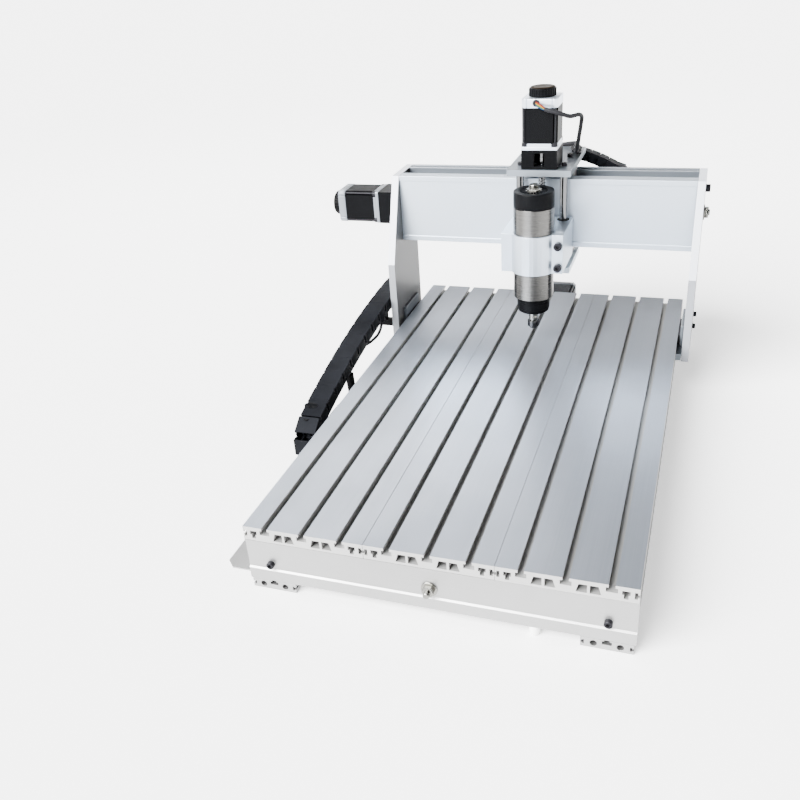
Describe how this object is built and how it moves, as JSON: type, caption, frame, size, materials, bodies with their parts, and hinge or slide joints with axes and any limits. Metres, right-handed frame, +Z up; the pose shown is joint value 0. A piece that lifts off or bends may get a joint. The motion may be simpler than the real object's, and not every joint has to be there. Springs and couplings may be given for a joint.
{
  "type": "cnc router",
  "caption": "Desktop moving-gantry CNC router: T-slotted table, bridge gantry on round rails, Z slide with clamped round spindle, stepper motors with hand knobs and drag chains.",
  "frame": {"origin": "bottom centre of the machine's bounding box, on the surface it stands on", "axes": "+X to the operator's right along the gantry, +Y from the table's front towards the Y motor, +Z up"},
  "size_m": [0.6588, 0.9602, 0.4992],
  "materials": {
    "brushed_aluminium": "extruded, brushed along its length",
    "silver_aluminium": "bright extruded",
    "satin_anodised": "satin, pale clear anodised",
    "cast_cap": "die cast, machined",
    "black_lamination": "satin black steel laminations",
    "black_anodised": "satin black",
    "steel": "ground and turned",
    "chain_plastic": "moulded, matte",
    "black_sleeve": "soft sleeve"
  },
  "bodies": {
    "base": {"table_profile_left": "brushed_aluminium", "table_profile_centre": "brushed_aluminium", "table_profile_right": "brushed_aluminium", "front_beam": "silver_aluminium", "rear_beam": "silver_aluminium", "left_runner": "silver_aluminium", "right_runner": "silver_aluminium", "left_y_rod": "steel", "right_y_rod": "steel", "y_motor_mount": "black_anodised", "y_motor": "black_lamination", "y_chain_lower": "chain_plastic", "y_chain_tray": "silver_aluminium"},
    "y_drive": {"y_knob": "black_anodised", "y_screw": "steel"},
    "gantry": {"left_gantry_plate": "satin_anodised", "right_gantry_plate": "satin_anodised", "gantry_front_panel": "satin_anodised", "gantry_rear_member": "satin_anodised", "gantry_cross_plate": "satin_anodised", "left_y_bearing": "silver_aluminium", "right_y_bearing": "silver_aluminium", "y_nut_block": "silver_aluminium", "left_side_block": "silver_aluminium", "right_side_block": "silver_aluminium", "upper_x_rod": "steel", "lower_x_rod": "steel", "x_motor_mount": "black_anodised", "x_motor_front_cap": "cast_cap", "x_motor_stack": "black_lamination", "x_motor_rear_cap": "cast_cap", "y_chain_bracket": "black_anodised", "x_chain_lower": "chain_plastic", "x_chain_shelf": "silver_aluminium"},
    "x_drive": {"x_knob": "black_anodised", "x_screw": "steel"},
    "x_carriage": {"carriage_top_plate": "satin_anodised", "carriage_bottom_plate": "satin_anodised", "x_bearing_block": "silver_aluminium", "left_z_rod": "steel", "right_z_rod": "steel", "z_motor_mount": "black_anodised", "z_motor_front_cap": "cast_cap", "z_motor_stack": "black_lamination", "z_motor_rear_cap": "cast_cap", "z_motor_lead": "black_sleeve"},
    "z_drive": {"z_knob": "black_anodised", "z_screw": "steel"},
    "z_slide": {"z_slide_block": "satin_anodised", "spindle_clamp": "satin_anodised", "spindle_body": "steel", "spindle_cap": "black_anodised", "spindle_connector": "steel", "spindle_nose": "black_anodised"},
    "spindle": {"spindle_shaft": "steel", "collet_nut": "steel"},
    "y_chain": {"y_chain_loop": "chain_plastic"},
    "y_chain_run": {"y_chain_upper": "chain_plastic"},
    "x_chain": {"x_chain_loop": "chain_plastic"},
    "x_chain_run": {"x_chain_upper": "chain_plastic"}
  },
  "joints": [
    {"name": "gantry_y", "type": "slide", "parent": "base", "child": "gantry", "axis": [0, 1, 0], "range_m": [-0.57, 0.03], "deforming": ["y_chain_upper", "y_chain_lower"]},
    {"name": "carriage_x", "type": "slide", "parent": "gantry", "child": "x_carriage", "axis": [1, 0, 0], "range_m": [-0.185, 0.185], "deforming": ["x_chain_upper", "x_chain_lower"]},
    {"name": "slide_z", "type": "slide", "parent": "x_carriage", "child": "z_slide", "axis": [0, 0, 1], "range_m": [-0.009, 0.066]},
    {"name": "y_screw_turn", "type": "hinge", "parent": "base", "child": "y_drive", "pos_m": [0.0586, 0, 0.044], "axis": [0, 1, 0], "continuous": true},
    {"name": "x_screw_turn", "type": "hinge", "parent": "gantry", "child": "x_drive", "pos_m": [0, 0.2574, 0.288], "axis": [1, 0, 0], "continuous": true},
    {"name": "z_screw_turn", "type": "hinge", "parent": "x_carriage", "child": "z_drive", "pos_m": [0.0646, 0.1989, 0.3], "axis": [0, 0, 1], "continuous": true},
    {"name": "spindle_turn", "type": "hinge", "parent": "z_slide", "child": "spindle", "pos_m": [0.0646, 0.1319, 0.15], "axis": [0, 0, 1], "continuous": true},
    {"name": "y_chain_roll", "type": "slide", "parent": "base", "child": "y_chain", "axis": [0, 1, 0], "range_m": [-0.285, 0.015]},
    {"name": "y_chain_feed", "type": "slide", "parent": "gantry", "child": "y_chain_run", "axis": [0, 1, 0], "range_m": [-0.015, 0.285]},
    {"name": "x_chain_roll", "type": "slide", "parent": "gantry", "child": "x_chain", "axis": [1, 0, 0], "range_m": [-0.0925, 0.0925]},
    {"name": "x_chain_feed", "type": "slide", "parent": "x_carriage", "child": "x_chain_run", "axis": [1, 0, 0], "range_m": [-0.0925, 0.0925]}
  ],
  "couplings": [
    {"joint": "y_screw_turn", "follows": "gantry_y", "rad_per_m": 1256.6},
    {"joint": "x_screw_turn", "follows": "carriage_x", "rad_per_m": 1256.6},
    {"joint": "z_screw_turn", "follows": "slide_z", "rad_per_m": 1256.6},
    {"joint": "y_chain_roll", "follows": "gantry_y", "ratio": 0.5},
    {"joint": "y_chain_feed", "follows": "gantry_y", "ratio": -0.5},
    {"joint": "x_chain_roll", "follows": "carriage_x", "ratio": 0.5},
    {"joint": "x_chain_feed", "follows": "carriage_x", "ratio": -0.5}
  ]
}
